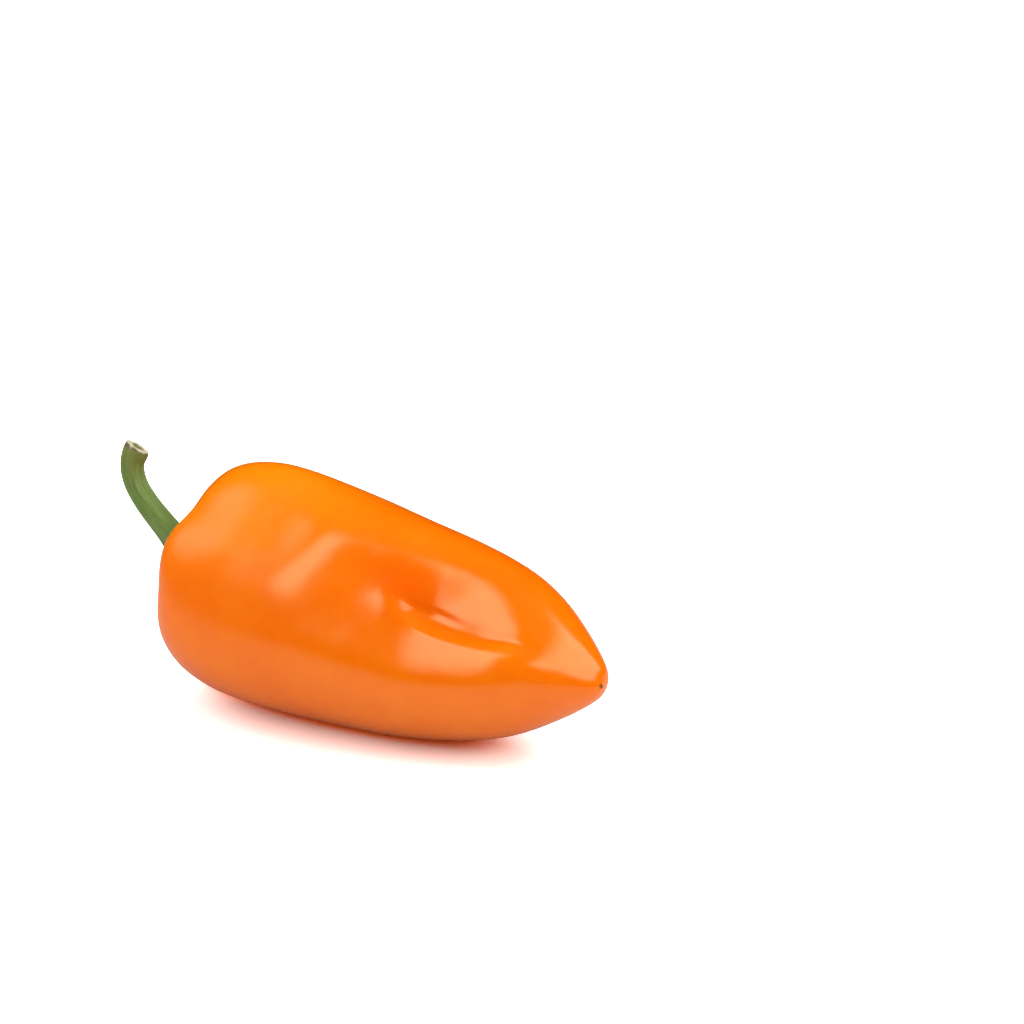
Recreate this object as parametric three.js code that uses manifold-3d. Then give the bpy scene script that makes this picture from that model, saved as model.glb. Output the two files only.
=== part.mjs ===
// A mini sweet bell pepper as picked, lying on its side: the lobed fruit, the green
// calyx that caps its stem end, and the cut stem. Sizes are in millimetres, +Z is up,
// the pepper rests on the plane z = 0 and its long axis runs along X, tip towards +X.
//
// Each piece is first shaped upright about the Y axis, with y = 0 at the shoulders and
// the fruit's tip at y = fruitLength. A station is a height along that axis. Angles, in
// degrees, run round it from the side that ends up on top; 90 degrees is the front.
import * as THREE from "three";
import { mergeVertices } from "three/addons/utils/BufferGeometryUtils.js";
import Module from "manifold-3d";

const wasm = await Module();
wasm.setup();
const radians = THREE.MathUtils.degToRad;
const weldDistance = 1e-3;

// The fruit: the hollow of its stem end rises as a cosine to the crest of the shoulders,
// and from there its outline is given as radius and station.
const fruitLength = 91.5;
const fruitRings = 54;
const fruitSides = 72;
const ringCrowding = 0.06;
const seatDepth = 2.6;
const crestRadius = 13;
const seatPoints = 5;
const fruitOutline = [
  [16, 0.5],
  [18.6, 2],
  [20.6, 4.3],
  [22.3, 8],
  [23.4, 14],
  [23.5, 22],
  [22.8, 33],
  [21.7, 44],
  [20.2, 56],
  [17.5, 68],
  [14.0, 76.4],
  [8.7, 84.1],
  [4.4, 89.0],
  [2.0, 90.9],
  [0, fruitLength],
];

// The fruit's axis lifts a little towards the tip.
const tipLift = { height: 1.2, from: 45, to: 84 };

// Three seed chambers make three lobes: shoulders that stand over the stem end, parted
// by grooves that fade towards the tip. Widths are in degrees. The lobes start under the
// calyx, at a radius of lobeStart.
const lobeStart = 6;
const shoulderSpread = { width: 40, length: 9 };
const shoulders = [
  { angle: 325, rise: 0.3 },
  { angle: 60, rise: 1.2 },
  { angle: 222, rise: 0.7 },
];
const grooves = [
  { angle: 28, twist: 26, depth: 1.7, width: 18, fadesAt: 45 },
  { angle: 178, twist: 8, depth: 1.5, width: 22, fadesAt: 36 },
  { angle: 278, twist: 12, depth: 1.7, width: 24, fadesAt: 80 },
];

// The dent in the upper side: a fold with a long slope above it and a short one below.
const fold = { from: 45, to: 88, fadeIn: 14, fadeOut: 24, depth: 3.2, above: 11, below: 2.6 };
const foldAngle = { start: 38, end: 50, from: 42, to: 62 };

// Low swells that keep the skin from being an even round, in degrees and millimetres.
const swells = [
  { angle: 88, station: 1, height: -0.9, width: 20, length: 8 },
  { angle: 54, station: 7, height: -1.0, width: 24, length: 6 },
  { angle: 4, station: 1, height: -0.8, width: 16, length: 5 },
  { angle: 60, station: 28, height: 1.2, width: 34, length: 9 },
  { angle: 0, station: 19, height: 1.25, width: 22, length: 12 },
  { angle: 74, station: 56, height: -1.5, width: 28, length: 8.5 },
  { angle: 84, station: 79, height: 1.5, width: 32, length: 11 },
  { angle: 106, station: 42, height: 0.9, width: 32, length: 30 },
  { angle: 250, station: 30, height: 0.4, width: 30, length: 18 },
];

// The scar that the flower left at the tip.
const scar = { radius: 1.6, depth: 0.45 };

// How the pepper lies: tip lower than shoulders, its underside pressed flat where it rests.
const pitch = radians(6);
const restFlat = 0.5;
const ground = { width: 300, depth: 40 };

// The calyx: a leathery collar that hugs the stem end, with a flat seat for the stem.
const calyxGap = 0.3;
const calyxThickness = 1.5;
const calyxEdge = 0.8;
const calyxSeatRadius = 5.0;
const collarRadius = 6.4;
const calyxSides = 72;
const calyxRings = 9;
const calyxRim = 0.97;
const calyxSeat = seatDepth - calyxGap - calyxThickness;
const sepals = [
  { angle: 8, reach: 11.4 },
  { angle: 66, reach: 10.8 },
  { angle: 131, reach: 11.5 },
  { angle: 190, reach: 11.0 },
  { angle: 247, reach: 11.6 },
  { angle: 309, reach: 10.9 },
];
const sepalPoint = { length: 0.9, width: 5 };
const sepalRidge = { height: 0.35, width: 9, radius: 8.5, length: 2.5 };

// The stem: five ribs, flared where it leaves the calyx and again at the cut, whose
// middle is hollowed by the dried pith. Its outline is radius and distance along it.
const stemRibs = { count: 5, height: 0.05, from: 1.4, to: 2.2 };
const stemSides = 30;
const stemStep = 1.6;
const stemOutline = [
  [0, 0],
  [4.4, 0],
  [4.5, 0.6],
  [4.1, 1.8],
  [3.3, 4],
  [2.8, 6.5],
  [2.5, 10],
  [2.35, 15],
  [2.3, 20],
  [2.4, 23.5],
  [2.7, 26.2],
  [2.6, 27.4],
  [1.4, 27.4],
  [1.0, 26.6],
  [0, 26.4],
];
const stemLength = 27.4;
const stemFrames = 120;
const cut = { slant: 0.25, from: 0.88 };
const stemPath = new THREE.CatmullRomCurve3([
  new THREE.Vector3(0, 0, 0),
  new THREE.Vector3(0, -1.5, 0),
  new THREE.Vector3(0, -4.2, 1.5),
  new THREE.Vector3(0, -8, 4.7),
  new THREE.Vector3(0, -13.3, 8.9),
  new THREE.Vector3(-0.4, -16.6, 12.5),
  new THREE.Vector3(-1.1, -18.1, 16),
  new THREE.Vector3(-2.5, -17.8, 19.2),
]);

function smooth(from, to, value) {
  return THREE.MathUtils.smoothstep(value, from, to);
}

// The difference between two angles in degrees, from -180 to 180.
function turn(a, b) {
  return THREE.MathUtils.euclideanModulo(a - b + 180, 360) - 180;
}

function bell(distance, width) {
  return Math.exp(-((distance / width) ** 2));
}

function angleOf(point) {
  return THREE.MathUtils.radToDeg(Math.atan2(point.x, point.z));
}

// Moves each vertex of a geometry by a function of its place and its normal.
function reshape(geometry, place) {
  const { position, normal } = geometry.attributes;
  const point = new THREE.Vector3();
  const facing = new THREE.Vector3();
  for (let i = 0; i < position.count; i += 1) {
    point.fromBufferAttribute(position, i);
    facing.fromBufferAttribute(normal, i);
    place(point, facing);
    position.setXYZ(i, point.x, point.y, point.z);
  }
  return geometry;
}

function solidOf(geometry) {
  const bare = new THREE.BufferGeometry();
  bare.setAttribute("position", geometry.toNonIndexed().attributes.position);
  const merged = mergeVertices(bare, weldDistance);
  return new wasm.Manifold(
    new wasm.Mesh({
      numProp: 3,
      vertProperties: merged.attributes.position.array,
      triVerts: new Uint32Array(merged.index.array),
    }),
  );
}

function meshOf(name, solid, color, roughness) {
  const { vertProperties, triVerts } = solid.getMesh();
  const geometry = new THREE.BufferGeometry();
  geometry.setAttribute("position", new THREE.BufferAttribute(vertProperties, 3));
  geometry.setIndex(new THREE.BufferAttribute(triVerts, 1));
  geometry.computeVertexNormals();
  const material = new THREE.MeshStandardMaterial({ color, roughness, metalness: 0 });
  const mesh = new THREE.Mesh(geometry, material);
  mesh.name = name;
  return mesh;
}

// Grooves and shoulders start under the edge of the calyx and end at the tip.
function lobeHeight(angle, radius, station) {
  let height = 0;
  for (const groove of grooves) {
    const middle = groove.angle + (groove.twist * station) / fruitLength;
    const fade = 1 - smooth(0.1 * groove.fadesAt, groove.fadesAt, station);
    height -= groove.depth * fade * bell(turn(angle, middle), groove.width);
  }
  for (const shoulder of shoulders) {
    const across = bell(turn(angle, shoulder.angle), shoulderSpread.width);
    height += shoulder.rise * across * bell(station, shoulderSpread.length);
  }
  return height * smooth(lobeStart, crestRadius + 1, radius + Math.max(0, station));
}

function foldHeight(angle, radius, station) {
  const middle = THREE.MathUtils.lerp(
    foldAngle.start,
    foldAngle.end,
    smooth(foldAngle.from, foldAngle.to, station),
  );
  const across = radians(turn(angle, middle)) * radius;
  const starts = smooth(fold.from, fold.from + fold.fadeIn, station);
  const ends = smooth(fold.to - fold.fadeOut, fold.to, station);
  return -fold.depth * starts * (1 - ends) * bell(across, across < 0 ? fold.above : fold.below);
}

function swellHeight(angle, station) {
  let height = 0;
  for (const swell of swells) {
    const along = bell(station - swell.station, swell.length);
    height += swell.height * along * bell(turn(angle, swell.angle), swell.width);
  }
  return height;
}

// How far the skin stands off the fruit's round outline.
function skinHeight(angle, radius, station) {
  const beyondCalyx = smooth(crestRadius - 2, crestRadius + 4, radius + Math.max(0, station));
  const broad = foldHeight(angle, radius, station) + swellHeight(angle, station) * beyondCalyx;
  return broad + lobeHeight(angle, radius, station);
}

function seatStation(radius) {
  return (seatDepth * (1 + Math.cos((Math.PI * radius) / crestRadius))) / 2;
}

function fruitGeometry() {
  const points = [];
  for (let i = 0; i <= seatPoints; i += 1) {
    const radius = (i / seatPoints) * crestRadius;
    points.push(new THREE.Vector2(radius, seatStation(radius)));
  }
  for (const [radius, station] of fruitOutline) points.push(new THREE.Vector2(radius, station));
  const curve = new THREE.SplineCurve(points);
  const outline = [];
  for (let i = 0; i <= fruitRings; i += 1) {
    const share = i / fruitRings;
    outline.push(curve.getPointAt(share - ringCrowding * Math.sin(2 * Math.PI * share)));
  }
  outline[0].x = 0;
  outline[fruitRings].x = 0;
  return reshape(new THREE.LatheGeometry(outline, fruitSides), (point, normal) => {
    const radius = Math.hypot(point.x, point.z);
    const station = point.y;
    point.addScaledVector(normal, skinHeight(angleOf(point), radius, station));
    if (station > fruitLength / 2) point.y -= scar.depth * bell(radius, scar.radius);
    point.z += tipLift.height * smooth(tipLift.from, tipLift.to, station);
  });
}

// The calyx's edge runs straight from the tip of one sepal to the next, and each tip
// ends in a short point.
function sepalReach(angle) {
  for (let i = 0; i < sepals.length; i += 1) {
    const here = sepals[i];
    const next = sepals[(i + 1) % sepals.length];
    const span = THREE.MathUtils.euclideanModulo(next.angle - here.angle, 360);
    const past = THREE.MathUtils.euclideanModulo(angle - here.angle, 360);
    if (past > span) continue;
    const leaning = here.reach * Math.sin(radians(past)) + next.reach * Math.sin(radians(span - past));
    const edge = (here.reach * next.reach * Math.sin(radians(span))) / leaning;
    return edge + sepalPoint.length * bell(Math.min(past, span - past), sepalPoint.width);
  }
  return 0;
}

function ridgeHeight(angle, radius) {
  let height = 0;
  for (const sepal of sepals) {
    height += sepalRidge.height * bell(turn(angle, sepal.angle), sepalRidge.width);
  }
  return height * bell(radius - sepalRidge.radius, sepalRidge.length);
}

// The calyx is a disc of radius 1, in share of its reach, draped on the fruit's stem end.
function calyxGeometry() {
  const outline = [];
  for (let i = 0; i <= calyxRings; i += 1) {
    outline.push(new THREE.Vector2((calyxRim * i) / calyxRings, 1));
  }
  outline.push(new THREE.Vector2(1, 0.5));
  for (let i = calyxRings; i >= 0; i -= 1) {
    outline.push(new THREE.Vector2((calyxRim * i) / calyxRings, 0));
  }
  return reshape(new THREE.LatheGeometry(outline, calyxSides), (point) => {
    const share = Math.hypot(point.x, point.z);
    const angle = angleOf(point);
    const reach = sepalReach(angle);
    const radius = share * reach;
    const skin = seatStation(radius);
    const floor = skin - skinHeight(angle, radius, skin) - calyxGap;
    const thickness = THREE.MathUtils.lerp(calyxThickness, calyxEdge, smooth(collarRadius, reach, radius));
    const collar = floor - thickness - ridgeHeight(angle, radius);
    const top = THREE.MathUtils.lerp(calyxSeat, collar, smooth(calyxSeatRadius, collarRadius, radius));
    point.set(point.x * reach, THREE.MathUtils.lerp(floor, top, point.y), point.z * reach);
  });
}

function stemGeometry() {
  const points = stemOutline.map(([radius, along]) => new THREE.Vector2(radius, along));
  const rings = [];
  for (let i = 1; i < points.length; i += 1) {
    const cuts = Math.max(1, Math.round(points[i - 1].distanceTo(points[i]) / stemStep));
    for (let j = 0; j < cuts; j += 1) rings.push(points[i - 1].clone().lerp(points[i], j / cuts));
  }
  rings.push(points.at(-1));
  const frames = stemPath.computeFrenetFrames(stemFrames, false);
  return reshape(new THREE.LatheGeometry(rings, stemSides), (point) => {
    const share = THREE.MathUtils.clamp(point.y / stemLength, 0, 1);
    const radius = Math.hypot(point.x, point.z);
    const wave = stemRibs.height * Math.cos(radians(stemRibs.count * angleOf(point)));
    const rib = 1 + wave * smooth(stemRibs.from, stemRibs.to, radius);
    const at = Math.round(share * stemFrames);
    const slant = -cut.slant * point.z * smooth(cut.from, 1, share);
    const sideways = frames.normals[at].clone().multiplyScalar(point.x * rib);
    const upwards = frames.binormals[at].clone().multiplyScalar(-point.z * rib);
    const along = frames.tangents[at].clone().multiplyScalar(slant);
    point.copy(stemPath.getPointAt(share)).add(sideways).add(upwards).add(along);
  });
}

const pepper = new THREE.Group();
pepper.rotation.set(0, pitch, -Math.PI / 2);

// The plane that it rests on is set just above the lowest point of the whole fruit.
const fruitShape = fruitGeometry();
const laid = new THREE.Matrix4().makeRotationFromEuler(pepper.rotation);
const lying = fruitShape.clone().applyMatrix4(laid);
lying.computeBoundingBox();
pepper.position.z = -lying.boundingBox.min.z - restFlat;
pepper.updateMatrixWorld(true);
const below = new THREE.BoxGeometry(ground.width, ground.width, ground.depth);
below.translate(0, 0, -ground.depth / 2);
below.applyMatrix4(pepper.matrixWorld.clone().invert());

const fruit = meshOf("fruit", solidOf(fruitShape).subtract(solidOf(below)), 0xf57a08, 0.3);
const calyx = meshOf("calyx", solidOf(calyxGeometry()), 0x3d6b35, 0.6);
const stemShape = stemGeometry().translate(0, calyxSeat - calyxGap, 0);
const stem = meshOf("stem", solidOf(stemShape), 0x5f8a3c, 0.5);
pepper.add(fruit, calyx, stem);

pepper.updateMatrixWorld(true);
const middle = new THREE.Box3().setFromObject(pepper, true).getCenter(new THREE.Vector3());
pepper.position.x -= middle.x;
pepper.position.y -= middle.y;

export default pepper;
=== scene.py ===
import math

import bpy
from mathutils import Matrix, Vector, noise


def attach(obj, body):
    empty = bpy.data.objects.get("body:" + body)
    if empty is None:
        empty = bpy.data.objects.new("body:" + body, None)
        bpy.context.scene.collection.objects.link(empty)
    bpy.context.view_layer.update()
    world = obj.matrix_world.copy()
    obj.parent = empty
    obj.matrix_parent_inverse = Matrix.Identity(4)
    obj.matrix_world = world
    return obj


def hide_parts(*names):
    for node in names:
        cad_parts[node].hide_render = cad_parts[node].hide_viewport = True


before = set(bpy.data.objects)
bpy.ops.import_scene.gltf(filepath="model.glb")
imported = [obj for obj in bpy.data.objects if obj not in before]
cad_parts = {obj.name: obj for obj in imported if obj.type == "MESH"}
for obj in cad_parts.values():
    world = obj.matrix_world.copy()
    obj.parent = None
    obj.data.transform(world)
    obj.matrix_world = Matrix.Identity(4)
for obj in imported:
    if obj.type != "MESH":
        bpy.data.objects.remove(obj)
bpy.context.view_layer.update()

mm = 0.001
scene = bpy.context.scene
scene.view_settings.view_transform = "Standard"

# The fruit's own axis: where its shoulders start, and how far the tip dips.
fruitAxis = {
    "shoulders": Vector((-36.40, 0.82, 25.70)) * mm,
    "pitch": math.radians(6),
    "length": 91.5 * mm,
}
alongFruit = Vector((math.cos(fruitAxis["pitch"]), 0, -math.sin(fruitAxis["pitch"])))
aboveFruit = Vector((math.sin(fruitAxis["pitch"]), 0, math.cos(fruitAxis["pitch"])))


def onFruit(point):  # station along the axis in mm, angle from the top in degrees, radius in mm
    away = (point - fruitAxis["shoulders"]) / mm
    up = away.dot(aboveFruit)
    front = -away.y
    return away.dot(alongFruit), math.degrees(math.atan2(front, up)), math.hypot(front, up)


def bell(distance, width):
    return math.exp(-((distance / width) ** 2))


def ease(start, end, value):
    share = min(max((value - start) / (end - start), 0), 1)
    return share * share * (3 - 2 * share)


def turnBetween(a, b):
    return (a - b + 180) % 360 - 180


# camera and light

view = {
    "place": (0.37423, -0.63877, 0.333),
    "aim": (0.02455, 0.01889, 0.0411),
    "lens": 144.281,
}
camera = bpy.data.objects.new("camera", bpy.data.cameras.new("camera"))
scene.collection.objects.link(camera)
camera.location = view["place"]
gaze = Vector(view["aim"]) - Vector(view["place"])
camera.rotation_euler = gaze.to_track_quat("-Z", "Y").to_euler()
camera.data.lens = view["lens"]
camera.data.clip_start = 0.01
scene.camera = camera

# Azimuth turns from the front towards the tip, both angles in degrees; sizes in metres.
# The glow fades out over the share of the size that is given as rim.
softboxes = {
    "leftBox": {
        "azimuth": -75, "elevation": 42, "distance": 1.0,
        "width": 1.0, "height": 1.0, "glow": 1.9, "rim": 0.38,
    },
    "frontBox": {
        "azimuth": -14, "elevation": 50, "distance": 1.0,
        "width": 0.6, "height": 1.8, "glow": 3.0, "rim": 0.36,
    },
    "rightBox": {
        "azimuth": 108, "elevation": 35, "distance": 1.0,
        "width": 1.3, "height": 0.74, "glow": 2.6, "rim": 0.23,
    },
    "topBox": {
        "azimuth": 160, "elevation": 66, "distance": 1.4,
        "width": 1.8, "height": 1.8, "glow": 2.1, "rim": 0.13,
    },
}


def softenRim(lamp, rim):
    lamp.use_nodes = True
    tree = lamp.node_tree
    spot = tree.nodes.new("ShaderNodeNewGeometry")
    split = tree.nodes.new("ShaderNodeSeparateXYZ")
    tree.links.new(spot.outputs["Parametric"], split.inputs["Vector"])
    fades = []
    for axis in ("X", "Y"):
        fromRim = tree.nodes.new("ShaderNodeMath")   # 0 at both rims, 0.5 in the middle
        fromRim.operation = "PINGPONG"
        fromRim.inputs[1].default_value = 0.5
        fade = tree.nodes.new("ShaderNodeMapRange")
        fade.interpolation_type = "SMOOTHSTEP"
        fade.inputs["From Max"].default_value = rim
        tree.links.new(split.outputs[axis], fromRim.inputs[0])
        tree.links.new(fromRim.outputs["Value"], fade.inputs["Value"])
        fades.append(fade.outputs["Result"])
    both = tree.nodes.new("ShaderNodeMath")
    both.operation = "MULTIPLY"
    tree.links.new(fades[0], both.inputs[0])
    tree.links.new(fades[1], both.inputs[1])
    tree.links.new(both.outputs["Value"], tree.nodes["Emission"].inputs["Strength"])


for name, box in softboxes.items():
    turn = math.radians(box["azimuth"])
    rise = math.radians(box["elevation"])
    towards = Vector((
        math.sin(turn) * math.cos(rise),
        -math.cos(turn) * math.cos(rise),
        math.sin(rise),
    ))
    lamp = bpy.data.lights.new(name, "AREA")
    lamp.shape = "RECTANGLE"
    lamp.size = box["width"]
    lamp.size_y = box["height"]
    lamp.energy = box["glow"] * math.pi * box["width"] * box["height"]
    softenRim(lamp, box["rim"])
    light = bpy.data.objects.new(name, lamp)
    light.location = towards * box["distance"]
    light.rotation_euler = towards.to_track_quat("Z", "Y").to_euler()
    light.visible_camera = False
    light.visible_glossy = name != "topBox"   # too high to be mirrored towards the camera
    scene.collection.objects.link(light)

room = {"backdrop": 1.0, "ambient": 0.4}
world = bpy.data.worlds.new("studio")
world.use_nodes = True
scene.world = world
world.cycles_visibility.glossy = False   # only the softboxes and the floor are mirrored
sky = world.node_tree
background = sky.nodes["Background"]
seen = sky.nodes.new("ShaderNodeLightPath")
level = sky.nodes.new("ShaderNodeMapRange")
level.inputs["To Min"].default_value = room["ambient"]
level.inputs["To Max"].default_value = room["backdrop"]
sky.links.new(seen.outputs["Is Camera Ray"], level.inputs["Value"])
sky.links.new(level.outputs["Result"], background.inputs["Strength"])
background.inputs["Color"].default_value = (1, 1, 1, 1)
print("camera and lights are set")


# material helpers

def node(tree, kind, **settings):
    made = tree.nodes.new(kind)
    for key, value in settings.items():
        if hasattr(made, key):
            setattr(made, key, value)
        else:
            made.inputs[key.replace("_", " ")].default_value = value
    return made


def newMaterial(name, **surface):
    material = bpy.data.materials.new(name)
    material.use_nodes = True
    shader = material.node_tree.nodes["Principled BSDF"]
    for key, value in surface.items():
        shader.inputs[key.replace("_", " ")].default_value = value
    return material, material.node_tree, shader


def colorRamp(tree, factor, stops):
    ramp = tree.nodes.new("ShaderNodeValToRGB")
    while len(ramp.color_ramp.elements) < len(stops):
        ramp.color_ramp.elements.new(0.5)
    for element, (place, color) in zip(ramp.color_ramp.elements, stops):
        element.position = place
        element.color = (*color, 1)
    tree.links.new(factor, ramp.inputs["Fac"])
    return ramp.outputs["Color"]


def mixColor(tree, factor, first, second, blend="MIX"):
    mix = tree.nodes.new("ShaderNodeMix")
    mix.data_type = "RGBA"
    mix.blend_type = blend
    for socket, value in ((mix.inputs[0], factor), (mix.inputs[6], first), (mix.inputs[7], second)):
        if isinstance(value, bpy.types.NodeSocket):
            tree.links.new(value, socket)
        else:
            socket.default_value = value if isinstance(value, (int, float)) else (*value, 1)
    return mix.outputs[2]


def mapRange(tree, value, fromMin, fromMax, toMin, toMax):
    made = tree.nodes.new("ShaderNodeMapRange")
    made.inputs["From Min"].default_value = fromMin
    made.inputs["From Max"].default_value = fromMax
    made.inputs["To Min"].default_value = toMin
    made.inputs["To Max"].default_value = toMax
    tree.links.new(value, made.inputs["Value"])
    return made.outputs["Result"]


def blotchGroup():  # soft uneven patches of two sizes, used by every skin of the plant
    group = bpy.data.node_groups.new("Blotches", "ShaderNodeTree")
    face = group.interface
    face.new_socket("Vector", in_out="INPUT", socket_type="NodeSocketVector")
    for name in ("Broad", "Fine", "Share"):
        face.new_socket(name, in_out="INPUT", socket_type="NodeSocketFloat")
    face.new_socket("Mask", in_out="OUTPUT", socket_type="NodeSocketFloat")
    face.new_socket("Grain", in_out="OUTPUT", socket_type="NodeSocketFloat")
    inside = group.nodes.new("NodeGroupInput")
    outside = group.nodes.new("NodeGroupOutput")
    broad = node(group, "ShaderNodeTexNoise", Detail=3.0, Roughness=0.55)
    fine = node(group, "ShaderNodeTexNoise", Detail=4.0, Roughness=0.6)
    both = group.nodes.new("ShaderNodeMix")
    for texture, size in ((broad, "Broad"), (fine, "Fine")):
        group.links.new(inside.outputs["Vector"], texture.inputs["Vector"])
        group.links.new(inside.outputs[size], texture.inputs["Scale"])
    group.links.new(inside.outputs["Share"], both.inputs[0])
    group.links.new(broad.outputs["Fac"], both.inputs[2])
    group.links.new(fine.outputs["Fac"], both.inputs[3])
    group.links.new(both.outputs[0], outside.inputs["Mask"])
    group.links.new(fine.outputs["Fac"], outside.inputs["Grain"])
    return group


blotches = blotchGroup()
usualNoise = (0.3, 0.7)   # nearly all of a noise texture's values lie between these


def addBlotches(tree, vector, broad, fine, share):   # scales of both sizes, and the fine one's share
    made = tree.nodes.new("ShaderNodeGroup")
    made.node_tree = blotches
    tree.links.new(vector, made.inputs["Vector"])
    made.inputs["Broad"].default_value = broad
    made.inputs["Fine"].default_value = fine
    made.inputs["Share"].default_value = share
    return made.outputs["Mask"], made.outputs["Grain"]


def objectPlace(tree):
    return tree.nodes.new("ShaderNodeTexCoord").outputs["Object"]


def addBump(tree, shader, height, strength, distance, before=None):
    bump = node(tree, "ShaderNodeBump", Strength=strength, Distance=distance)
    tree.links.new(height, bump.inputs["Height"])
    if before is not None:
        tree.links.new(before, bump.inputs["Normal"])
    tree.links.new(bump.outputs["Normal"], shader.inputs["Normal"])
    return bump.outputs["Normal"]


# mesh helpers

def selectOnly(piece):
    bpy.ops.object.select_all(action="DESELECT")
    piece.select_set(True)
    bpy.context.view_layer.objects.active = piece


def copyOfNode(name, newName, levels):  # merged, in quads, and subdivided
    piece = bpy.data.objects.new(newName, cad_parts[name].data.copy())
    scene.collection.objects.link(piece)
    selectOnly(piece)
    piece.data.materials.clear()
    bpy.ops.mesh.customdata_custom_splitnormals_clear()
    bpy.ops.object.mode_set(mode="EDIT")
    bpy.ops.mesh.select_all(action="SELECT")
    bpy.ops.mesh.remove_doubles(threshold=0.02 * mm)
    bpy.ops.mesh.tris_convert_to_quads(face_threshold=math.radians(50), shape_threshold=math.radians(70))
    bpy.ops.mesh.normals_make_consistent(inside=False)
    bpy.ops.object.mode_set(mode="OBJECT")
    smoother = piece.modifiers.new("smoother", "SUBSURF")
    smoother.levels = levels
    smoother.render_levels = levels
    bpy.ops.object.modifier_apply(modifier="smoother")
    bpy.ops.object.shade_smooth()
    return piece


def sculpt(piece, move):  # each point goes along its normal by move(point, normal), in mm
    normals = [vertex.normal.copy() for vertex in piece.data.vertices]
    for vertex, normal in zip(piece.data.vertices, normals):
        vertex.co += normal * (move(vertex.co.copy(), normal) * mm)
    piece.data.update()


def paint(piece, name, value):  # a number on each point, for a material to read
    layer = piece.data.attributes.new(name, "FLOAT", "POINT")
    layer.data.foreach_set("value", [value(vertex.co) for vertex in piece.data.vertices])


def keep(piece, nodeName):
    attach(piece, "root")
    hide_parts(nodeName)


# fruit

fruitLook = {
    "levels": 2,
    "creaseLine": [(47, 43), (57, 46.5), (69, 50), (80, 45)],   # station in mm, angle in degrees
    "creaseDepth": 0.5,
    "creaseWidth": 1.1,
    "creaseFade": 2,   # how much further than the line's first and last stretch it fades, mm
    # low swells, and hollows below 0: station, angle, height, width in degrees, length
    "swells": {
        "shoulderFlank": (23, 62, -0.8, 22, 12),
        "shoulderTop": (25, 34, -0.8, 23, 6),
        "shoulderFoot": (27, 77, -0.8, 15, 14),
        "crest": (36, 24, 0.8, 15, 8),
        "waist": (44, 65, -0.8, 27, 11),
        "dentStart": (46, 37, -0.8, 15, 8),
        "dentLip": (52, 45, 0.7, 11, 3.5),
        "dentWall": (53, 52, -1.0, 28, 11),
        "dentTop": (63, 30, -0.8, 21, 8),
        "dentFront": (66, 64, -1.3, 21, 10),
        "tipBulge": (78, 52, 0.5, 30, 5),
    },
    "waves": [(16, 0.12), (8, 0.05), (4, 0.015)],   # size and height of the skin's unevenness, mm
    "pressed": {"from": 1.2, "to": 5},   # height over which the waves start above the flat, mm
    "orange": (0.90, 0.170, 0.0004),
    "deep": (0.88, 0.142, 0.0003),
    "pale": (0.92, 0.198, 0.0005),
    "paintedTopLight": {   # painted light, the top lit brighter and yellower: from and to in mm along towards
        "color": (0.93, 0.24, 0.0004),
        "towards": (-0.35, 0, 1),
        "from": 40,
        "to": 57,
        "most": 0.8,
    },
    # painted shade: the colour and the places of the darker dent wall and the dark line under the crease
    "wallShade": (0.86, 0.115, 0.0002),
    "deepShade": {"station": 51, "angle": 36, "length": 8, "width": 14},
    "lineShade": {"below": 1.6, "width": 0.9, "starts": (52, 58), "ends": (68, 76), "share": 0.4},
    "polish": {"from": -30, "to": 8},   # over x in mm, from the stem end to the tip
    "roughness": (0.25, 0.13),
    "gloss": (0.52, 0.80),
    "glossTint": (1.0, 0.98, 0.60, 1.0),
    "scarBrown": (0.22, 0.05, 0.01),
    "scarPlace": {"front": 2.0, "up": 1.8, "size": 0.5},   # from the fruit's axis, mm
    "scarEdge": (1.3, 0.6),   # from clear to brown, in shares of its size
    "tipStations": (70, 85),   # the scar shows only past these
    "blotches": (45, 300, 0.25),   # as addBlotches takes them
    "roughnessPatches": (-0.02, 0.03),
}


def creaseAngle(station):  # eased from one given place to the next
    line = fruitLook["creaseLine"]
    for (s0, a0), (s1, a1) in zip(line, line[1:]):
        if station <= s1:
            return a0 + (a1 - a0) * ease(s0, s1, station)
    return line[-1][1]


def acrossCrease(station, angle, radius):  # mm from the crease, more than 0 below it
    return math.radians(turnBetween(angle, creaseAngle(station))) * radius


def skinMove(point, normal):
    station, angle, radius = onFruit(point)
    first, second, third, last = [at for at, middle in fruitLook["creaseLine"]]
    fade = fruitLook["creaseFade"]
    along = ease(first, second + fade, station) * (1 - ease(third + fade, last, station))
    across = acrossCrease(station, angle, radius)
    move = -fruitLook["creaseDepth"] * along * bell(across, fruitLook["creaseWidth"])
    for at, middle, height, width, length in fruitLook["swells"].values():
        move += height * bell(station - at, length) * bell(turnBetween(angle, middle), width)
    pressed = fruitLook["pressed"]
    free = ease(pressed["from"], pressed["to"], point.z / mm)
    for size, height in fruitLook["waves"]:
        move += height * noise.noise(point / (size * mm)) * free
    return move


fruit = copyOfNode("fruit", "fruitSkin", fruitLook["levels"])
sculpt(fruit, skinMove)


def foldShade(point):  # painted shade: darker on the steep start of the dent, and a thin dark line under its crease
    station, angle, radius = onFruit(point)
    across = acrossCrease(station, angle, radius)
    deep = fruitLook["deepShade"]
    aside = turnBetween(angle, deep["angle"])
    wallShade = bell(station - deep["station"], deep["length"]) * bell(aside, deep["width"])
    thin = fruitLook["lineShade"]
    starts, ends = thin["starts"], thin["ends"]
    along = ease(*starts, station) * (1 - ease(*ends, station))
    return max(wallShade, thin["share"] * bell(across - thin["below"], thin["width"]) * along)


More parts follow.
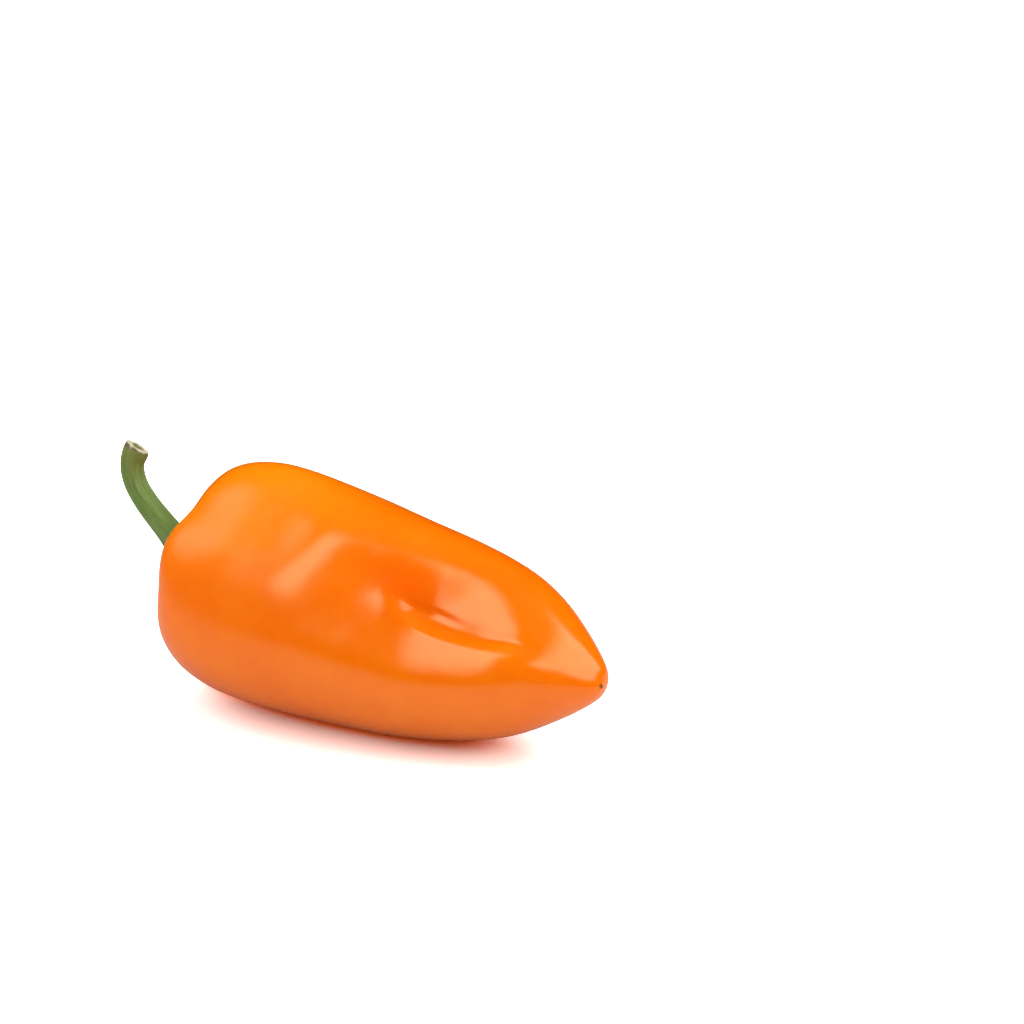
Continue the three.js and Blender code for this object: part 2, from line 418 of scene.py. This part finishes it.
def scarShade(point):
    station, angle, radius = onFruit(point)
    dot = fruitLook["scarPlace"]
    front = radius * math.sin(math.radians(angle)) - dot["front"]
    up = radius * math.cos(math.radians(angle)) - dot["up"]
    spread = math.hypot(front, up) / dot["size"]
    return ease(*fruitLook["scarEdge"], spread) * ease(*fruitLook["tipStations"], station)


paint(fruit, "paintedFoldShade", foldShade)
paint(fruit, "scar", scarShade)

skin, tree, shader = newMaterial(
    "skin",
    IOR=1.5,
    Subsurface_Weight=0.25,
    Subsurface_Scale=0.004,
    Subsurface_Radius=(1.0, 0.2, 0.05),
    Specular_Tint=fruitLook["glossTint"],
)
place = objectPlace(tree)
mask = addBlotches(tree, place, *fruitLook["blotches"])[0]
paintedFoldShade = node(tree, "ShaderNodeAttribute", attribute_name="paintedFoldShade")
scar = node(tree, "ShaderNodeAttribute", attribute_name="scar")
base = colorRamp(tree, mask, [
    (0.3, fruitLook["deep"]), (0.55, fruitLook["orange"]), (0.8, fruitLook["pale"]),
])
paintedTopLight = fruitLook["paintedTopLight"]   # painted light: yellower and brighter at the crest of the shoulders, where the top light falls
lightSide = node(tree, "ShaderNodeVectorMath", operation="DOT_PRODUCT")
lightSide.inputs[1].default_value = paintedTopLight["towards"]
tree.links.new(place, lightSide.inputs[0])
litCrest = mapRange(tree, lightSide.outputs["Value"], paintedTopLight["from"] * mm, paintedTopLight["to"] * mm, 0.0, paintedTopLight["most"])
base = mixColor(tree, litCrest, base, paintedTopLight["color"])
# painted shade on the dent wall and under the crease
base = mixColor(tree, paintedFoldShade.outputs["Fac"], base, fruitLook["wallShade"])
base = mixColor(tree, scar.outputs["Fac"], base, fruitLook["scarBrown"])
tree.links.new(base, shader.inputs["Base Color"])
polish = fruitLook["polish"]   # the skin is less polished towards the stem end
split = tree.nodes.new("ShaderNodeSeparateXYZ")
tree.links.new(place, split.inputs["Vector"])
polished = mapRange(tree, split.outputs["X"], polish["from"] * mm, polish["to"] * mm, 0, 1)
uneven = node(tree, "ShaderNodeMath", operation="ADD")
tree.links.new(mapRange(tree, polished, 0, 1, *fruitLook["roughness"]), uneven.inputs[0])
patches = mapRange(tree, mask, *usualNoise, *fruitLook["roughnessPatches"])
tree.links.new(patches, uneven.inputs[1])
tree.links.new(uneven.outputs["Value"], shader.inputs["Roughness"])
tree.links.new(mapRange(tree, polished, 0, 1, *fruitLook["gloss"]), shader.inputs["Specular IOR Level"])
pores = node(tree, "ShaderNodeTexNoise", Scale=1500.0, Detail=2.0)
tree.links.new(place, pores.inputs["Vector"])
dents = node(tree, "ShaderNodeTexNoise", Scale=220.0, Detail=2.0)
tree.links.new(place, dents.inputs["Vector"])
normal = addBump(tree, shader, dents.outputs["Fac"], strength=0.12, distance=0.0004)
addBump(tree, shader, pores.outputs["Fac"], strength=0.1, distance=0.00006, before=normal)
fruit.data.materials.append(skin)
keep(fruit, "fruit")
print("fruit is dressed:", len(fruit.data.vertices), "points")


# calyx

calyxLook = {
    "levels": 2,
    # angle of each sepal's tip, and its reach from the fruit's axis in mm
    "sepals": [(8, 11.4), (66, 10.8), (131, 11.5), (190, 11.0), (247, 11.6), (309, 10.9)],
    "outerFace": (-0.1, 0.4),   # how far a normal points away from the fruit
    "vein": {
        "height": 0.3, "width": 0.55, "starts": (5.2, 7.5), "thins": (8, 11.5), "thinned": 0.6,
        "wander": 0.5, "wanderLength": 3,
    },
    "sideVein": {
        "height": 0.16, "width": 0.3, "starts": (0.3, 1.2), "slant": 0.75, "apart": 1.9, "first": 0.7,
    },
    "lumps": [(2.6, 0.3), (1.1, 0.14)],   # size and height, mm
    "lumpsStart": (4.5, 6.5),   # from the fruit's axis, mm
    # from and to are shares of the reach, and widths are in degrees
    "tipHook": {"height": 0.25, "from": 0.86, "to": 1.05, "width": 5},
    "rimShade": {"from": 0.86, "to": 0.97, "ragged": 0.05, "raggedLength": 1.5, "most": 0.7},
    "tipShade": {"from": 0.93, "to": 1.03, "width": 7},
    "veinShade": {"from": 0.2, "most": 0.55},
    "blotches": (260, 1400, 0.4),
    "roughness": (0.38, 0.62),
    "green": (0.045, 0.15, 0.03),
    "dark": (0.02, 0.075, 0.018),
    "light": (0.12, 0.25, 0.06),
    "rim": (0.17, 0.27, 0.09),
    "tip": (0.035, 0.03, 0.012),
}


def sepalReach(angle):  # edge of the calyx, straight between the tips of two sepals, mm
    sepals = calyxLook["sepals"]
    for (a0, r0), (a1, r1) in zip(sepals, sepals[1:] + sepals[:1]):
        span, past = (a1 - a0) % 360, (angle - a0) % 360
        if past <= span:
            leaning = r0 * math.sin(math.radians(past)) + r1 * math.sin(math.radians(span - past))
            return r0 * r1 * math.sin(math.radians(span)) / leaning
    return sepals[0][1]


def nearestSepal(angle):
    return min(calyxLook["sepals"], key=lambda sepal: abs(turnBetween(angle, sepal[0])))


def veinHeight(point, angle, radius):
    main, side = calyxLook["vein"], calyxLook["sideVein"]
    wander = main["wander"] * noise.noise(point / (main["wanderLength"] * mm))
    aside = math.radians(turnBetween(angle, nearestSepal(angle)[0])) * radius + wander
    middle = bell(aside, main["width"]) * (1 - main["thinned"] * ease(*main["thins"], radius))
    slanted = radius - side["slant"] * abs(aside)   # side veins leave the middle one towards the edge
    step = (slanted + side["first"]) % side["apart"] - side["apart"] / 2
    branches = bell(step, side["width"]) * ease(*side["starts"], abs(aside))
    return ease(*main["starts"], radius) * (main["height"] * middle + side["height"] * branches)


def calyxMove(point, normal):
    station, angle, radius = onFruit(point)
    outside = ease(*calyxLook["outerFace"], -normal.dot(alongFruit))
    share = radius / sepalReach(angle)
    away = abs(turnBetween(angle, nearestSepal(angle)[0]))
    move = outside * veinHeight(point, angle, radius)
    crumpled = outside * ease(*calyxLook["lumpsStart"], radius)
    for size, height in calyxLook["lumps"]:
        move += crumpled * height * noise.noise(point / (size * mm))
    hook = calyxLook["tipHook"]
    hooked = ease(hook["from"], hook["to"], share) * bell(away, hook["width"])
    return move + hook["height"] * outside * hooked


calyx = copyOfNode("calyx", "calyxCap", calyxLook["levels"])
sculpt(calyx, calyxMove)


def rimShade(point):
    station, angle, radius = onFruit(point)
    rim = calyxLook["rimShade"]
    ragged = rim["ragged"] * noise.noise(point / (rim["raggedLength"] * mm))
    return ease(rim["from"], rim["to"], radius / sepalReach(angle) + ragged)


def tipShade(point):
    station, angle, radius = onFruit(point)
    away = abs(turnBetween(angle, nearestSepal(angle)[0]))
    tip = calyxLook["tipShade"]
    return ease(tip["from"], tip["to"], radius / sepalReach(angle)) * bell(away, tip["width"])


def veinShade(point):
    station, angle, radius = onFruit(point)
    return min(1, veinHeight(point, angle, radius) / calyxLook["vein"]["height"])


paint(calyx, "rim", rimShade)
paint(calyx, "tip", tipShade)
paint(calyx, "vein", veinShade)
leather, tree, shader = newMaterial("calyxLeather", Roughness=0.5)
place = objectPlace(tree)
mask, grain = addBlotches(tree, place, *calyxLook["blotches"])
rim = node(tree, "ShaderNodeAttribute", attribute_name="rim")
tip = node(tree, "ShaderNodeAttribute", attribute_name="tip")
vein = node(tree, "ShaderNodeAttribute", attribute_name="vein")
base = colorRamp(tree, mask, [
    (0.3, calyxLook["dark"]), (0.5, calyxLook["green"]), (0.75, calyxLook["light"]),
])
shade = calyxLook["veinShade"]
veined = mapRange(tree, vein.outputs["Fac"], shade["from"], 1.0, 0.0, shade["most"])
rimmed = mapRange(tree, rim.outputs["Fac"], 0.0, 1.0, 0.0, calyxLook["rimShade"]["most"])
base = mixColor(tree, veined, base, calyxLook["light"])
base = mixColor(tree, rimmed, base, calyxLook["rim"])
base = mixColor(tree, tip.outputs["Fac"], base, calyxLook["tip"])
tree.links.new(base, shader.inputs["Base Color"])
tree.links.new(mapRange(tree, grain, *usualNoise, *calyxLook["roughness"]), shader.inputs["Roughness"])
addBump(tree, shader, grain, strength=0.5, distance=0.0003)
calyx.data.materials.append(leather)
keep(calyx, "calyx")
print("calyx is dressed:", len(calyx.data.vertices), "points")


# stem

stemLook = {
    "levels": 3,
    # middle line from the calyx to the cut: side, along and above the fruit's axis, mm
    "line": [(0, 0, 0), (0, -1.5, 0), (0, -4.2, 1.5), (0, -8, 4.7), (0, -13.3, 8.9),
             (-0.4, -16.6, 12.5), (-1.1, -18.1, 16), (-2.5, -17.8, 19.2)],
    "seat": 0.5,
    "sideFace": (0.6, 0.95),   # how far a normal points away from the middle line
    "core": 0.2,   # this near to the middle line nothing is a side face, mm
    "ribs": {"count": 5, "height": 0.1, "starts": (1.5, 5), "wander": 30, "wanderLength": 9},
    "fibres": [(0.09, 2.2, 7), (0.07, 7, 9)],   # height, how close they are, length, mm
    "torn": {"height": 0.16, "size": 0.9, "from": 2.2, "to": 0.4},   # rim of the cut, mm
    "crease": {"depth": 0.22, "along": 2.4, "width": 0.5},
    "cutFace": {"from": 1.4, "to": 0.5, "radius": 3.0},   # from and to before the end, mm
    "cutPatches": {"noise": (0.35, 0.65), "most": 0.5},
    "streakStep": 0.035,   # how far the streaks move on for each mm of stem
    "streaks": (2.6, 11, 0.5),
    "blotches": (260, 1600, 0.4),
    "roughness": (0.36, 0.6),
    # from and to are shares of the stem's length, from the calyx
    "footShade": {"from": 0.14, "to": 0.02, "most": 0.75},
    "turning": {"from": 0.66, "to": 0.95, "streaks": (0.45, 0.6), "strength": (0.15, 0.8)},
    "green": (0.135, 0.225, 0.035),
    "dark": (0.08, 0.145, 0.024),
    "light": (0.19, 0.31, 0.07),
    "foot": (0.30, 0.40, 0.10),
    "woody": (0.20, 0.15, 0.035),
    "ring": (0.62, 0.60, 0.40),
    "pith": (0.20, 0.17, 0.07),
    "dried": (0.10, 0.07, 0.035),
}


def smoothLine(points, steps):  # a curve through all points
    line = []
    padded = [points[0]] + points + [points[-1] * 2 - points[-2]]
    for a, b, c, d in zip(padded, padded[1:], padded[2:], padded[3:]):
        for i in range(steps):
            t = i / steps
            line.append(0.5 * ((2 * b) + (c - a) * t + (2 * a - 5 * b + 4 * c - d) * t * t
                               + (3 * b - a - 3 * c + d) * t * t * t))
    line.append(points[-1])
    return line


def offAxis(side, along, above):
    away = alongFruit * along + aboveFruit * above - Vector((0, 1, 0)) * side
    return fruitAxis["shoulders"] + away * mm


stemLine = smoothLine([
    offAxis(side, along + stemLook["seat"], above) for side, along, above in stemLook["line"]
], 5)


def onStem(point):  # distance along the stem, distance from its middle line, both in mm, and angle round it
    best = None
    run = 0
    for a, b in zip(stemLine, stemLine[1:]):
        step = b - a
        share = (point - a).dot(step) / step.length_squared
        share = max(share, 0) if b is stemLine[-1] else min(max(share, 0), 1)
        foot = a + step * share
        gap = (point - foot).length
        if best is None or gap < best[1]:
            best = (run + step.length * share, gap, step.normalized(), point - foot)
        run += step.length
    along, gap, ahead, aside = best
    side = ahead.cross(Vector((0, 1, 0))).normalized()
    return along / mm, gap / mm, math.degrees(math.atan2(aside.dot(side), aside.y))


stemRun = sum((b - a).length for a, b in zip(stemLine, stemLine[1:])) / mm


def stemPoint(along):
    run = 0
    for a, b in zip(stemLine, stemLine[1:]):
        length = (b - a).length / mm
        if run + length >= along:
            return a + (b - a) * ((along - run) / length)
        run += length
    return stemLine[-1]


def stemMove(point, normal):
    along, gap, angle = onStem(point)
    outwards = (point - stemPoint(along)).normalized()
    sides = ease(*stemLook["sideFace"], abs(normal.dot(outwards)) if gap > stemLook["core"] else 0)
    ribs = stemLook["ribs"]
    wander = ribs["wander"] * noise.noise(Vector((along / ribs["wanderLength"], 0, 0)))
    rib = math.cos(math.radians(ribs["count"] * angle + wander))
    move = ribs["height"] * rib * sides * ease(*ribs["starts"], along)
    across, ahead = math.cos(math.radians(angle)), math.sin(math.radians(angle))
    for height, turns, length in stemLook["fibres"]:
        move += height * sides * noise.noise(Vector((across * turns, ahead * turns, along / length)))
    torn = stemLook["torn"]
    share = ease(stemRun - torn["from"], stemRun - torn["to"], along)
    move += torn["height"] * noise.noise(point / (torn["size"] * mm)) * share
    crease = stemLook["crease"]   # where the stem leaves the calyx
    return move - crease["depth"] * sides * bell(along - crease["along"], crease["width"])


stem = copyOfNode("stem", "stemCut", stemLook["levels"])
sculpt(stem, stemMove)

places = [onStem(vertex.co) for vertex in stem.data.vertices]
cutFace = stemLook["cutFace"]
cutStarts, cutEnds = stemRun - cutFace["from"], stemRun - cutFace["to"]
layers = {
    "along": [along / stemRun for along, gap, angle in places],
    "gap": [gap for along, gap, angle in places],
    "cut": [ease(cutStarts, cutEnds, along) for along, gap, angle in places],
}
for name, values in layers.items():
    layer = stem.data.attributes.new(name, "FLOAT", "POINT")
    layer.data.foreach_set("value", values)
wrap = stem.data.attributes.new("wrap", "FLOAT_VECTOR", "POINT")   # fibres follow the stem in this space
streakStep = stemLook["streakStep"]
wrap.data.foreach_set("vector", [
    number
    for along, gap, angle in places
    for number in (math.cos(math.radians(angle)), math.sin(math.radians(angle)), along * streakStep)
])

bark, tree, shader = newMaterial("stemBark", Roughness=0.45)
place = objectPlace(tree)
fibres = node(tree, "ShaderNodeAttribute", attribute_name="wrap")
streak, fineStreak = addBlotches(tree, fibres.outputs["Vector"], *stemLook["streaks"])
grain = addBlotches(tree, place, *stemLook["blotches"])[1]
along = node(tree, "ShaderNodeAttribute", attribute_name="along")
gap = node(tree, "ShaderNodeAttribute", attribute_name="gap")
cut = node(tree, "ShaderNodeAttribute", attribute_name="cut")
base = colorRamp(tree, streak, [
    (0.32, stemLook["dark"]), (0.5, stemLook["green"]), (0.68, stemLook["light"]),
])
foot = stemLook["footShade"]
paler = mapRange(tree, along.outputs["Fac"], foot["from"], foot["to"], 0.0, foot["most"])
base = mixColor(tree, paler, base, stemLook["foot"])
turning = stemLook["turning"]   # olive-brown streaks below the cut
browner = node(tree, "ShaderNodeMath", operation="MULTIPLY")
nearCut = mapRange(tree, along.outputs["Fac"], turning["from"], turning["to"], 0.0, 1.0)
tree.links.new(nearCut, browner.inputs[0])
tree.links.new(mapRange(tree, fineStreak, *turning["streaks"], *turning["strength"]), browner.inputs[1])
base = mixColor(tree, browner.outputs["Value"], base, stemLook["woody"])
face = colorRamp(tree, mapRange(tree, gap.outputs["Fac"], 0.0, cutFace["radius"], 0.0, 1.0), [
    (0.0, stemLook["pith"]), (0.42, stemLook["pith"]), (0.52, stemLook["ring"]),
    (0.78, stemLook["ring"]), (0.86, stemLook["dried"]),
])
patches = stemLook["cutPatches"]
patchy = mapRange(tree, grain, *patches["noise"], 0.0, patches["most"])
face = mixColor(tree, patchy, face, stemLook["woody"])
base = mixColor(tree, cut.outputs["Fac"], base, face)
tree.links.new(base, shader.inputs["Base Color"])
tree.links.new(mapRange(tree, grain, *usualNoise, *stemLook["roughness"]), shader.inputs["Roughness"])
normal = addBump(tree, shader, fineStreak, strength=0.5, distance=0.0003)
addBump(tree, shader, grain, strength=0.35, distance=0.00015, before=normal)
stem.data.materials.append(bark)
keep(stem, "stem")
print("stem is dressed:", len(stem.data.vertices), "points")


# floor

floorLook = {
    "white": 1.9,
    "bounce": 0.8,
    "patches": 0.01,
    "blotches": (4, 300, 0.3),
    "mirrored": 0.48,
    "near": 0.04,   # the mirrored floor fades out from here to far, m
    "far": 0.3,
    "glow": (2.5, 0.72, 0.18),   # painted shadow and bounced light: the skin's orange-red on the paper where the fruit touches it
    "touch": {"x": -1, "y": 0.5, "long": 27, "wide": 7.5, "from": 0.9, "to": 1.35},
}
bpy.ops.mesh.primitive_plane_add(size=6, location=(0, 0, 0))
floor = bpy.context.active_object
floor.name = "floor"
paper, tree, shader = newMaterial("paper", Roughness=0.7, Specular_IOR_Level=0.2)
place = objectPlace(tree)
mask = addBlotches(tree, place, *floorLook["blotches"])[0]
ray = tree.nodes.new("ShaderNodeLightPath")
reach = node(tree, "ShaderNodeVectorMath", operation="LENGTH")
tree.links.new(place, reach.inputs[0])
white, bounce = [
    mapRange(tree, mask, *usualNoise, floorLook[part] - floorLook["patches"], floorLook[part])
    for part in ("white", "bounce")
]
distance = reach.outputs["Value"]
mirrored = mapRange(tree, distance, floorLook["near"], floorLook["far"], floorLook["mirrored"], 0.0)
touch = floorLook["touch"]
oval = node(tree, "ShaderNodeMapping")   # the oval round the touching place becomes a circle of radius 1
oval.inputs["Scale"].default_value = (1 / (touch["long"] * mm), 1 / (touch["wide"] * mm), 0)
oval.inputs["Location"].default_value = (-touch["x"] / touch["long"], -touch["y"] / touch["wide"], 0)
tree.links.new(place, oval.inputs["Vector"])
far = node(tree, "ShaderNodeVectorMath", operation="LENGTH")
tree.links.new(oval.outputs["Vector"], far.inputs[0])
# painted contact shadow and bounced orange light, strongest inside the oval
paintedContactLight = mapRange(tree, far.outputs["Value"], touch["from"], touch["to"], 1.0, 0.0)
paintedContactLight.node.interpolation_type = "SMOOTHSTEP"
white = mixColor(tree, paintedContactLight, white, floorLook["glow"])
base = mixColor(tree, ray.outputs["Is Camera Ray"], bounce, white)
base = mixColor(tree, ray.outputs["Is Glossy Ray"], base, mirrored)
tree.links.new(base, shader.inputs["Base Color"])
floor.data.materials.append(paper)
